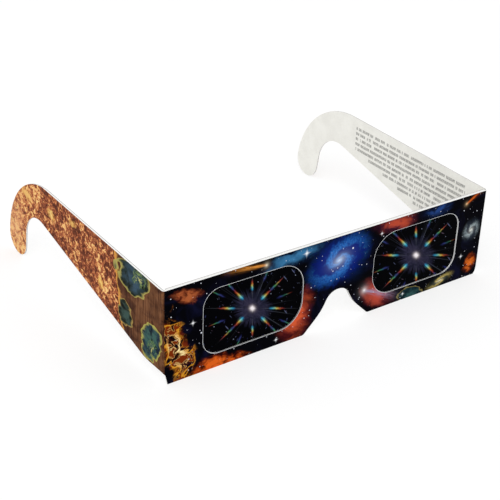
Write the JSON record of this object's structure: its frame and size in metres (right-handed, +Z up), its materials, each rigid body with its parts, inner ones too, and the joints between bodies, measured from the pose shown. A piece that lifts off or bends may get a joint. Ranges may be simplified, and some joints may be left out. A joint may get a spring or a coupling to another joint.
{
  "type": "paper diffraction glasses",
  "caption": "Folding paper glasses with diffraction film in two rounded windows, a nose notch and hooked temples that fold on creases.",
  "frame": {"origin": "middle of the footprint, on the surface that the glasses stand on", "axes": "-Y the way the front faces, +Y along the open temples, +X to the right seen from the front, +Z up"},
  "size_m": [0.144, 0.1156, 0.0386],
  "materials": {
    "card_print": "printed",
    "card_plain": "uncoated",
    "film": "iridescent film",
    "glue": "dried glue"
  },
  "bodies": {
    "front": {"front_card": "card_print", "back_card": "card_plain", "left_film": "film", "right_film": "film", "glue_layer": "glue", "left_crease": "card_print", "right_crease": "card_print"},
    "left_arm": {"left_temple": "card_print"},
    "right_arm": {"right_temple": "card_print"}
  },
  "joints": [
    {"name": "left_fold", "type": "hinge", "parent": "front", "child": "left_arm", "pos_m": [-0.07115, -0.05695, 0], "axis": [0, 0, -1], "range_deg": [-90, 90], "deforming": ["left_crease"]},
    {"name": "right_fold", "type": "hinge", "parent": "front", "child": "right_arm", "pos_m": [0.07085, -0.05665, 0], "axis": [0, 0, 1], "range_deg": [-90, 90], "deforming": ["right_crease"]}
  ]
}
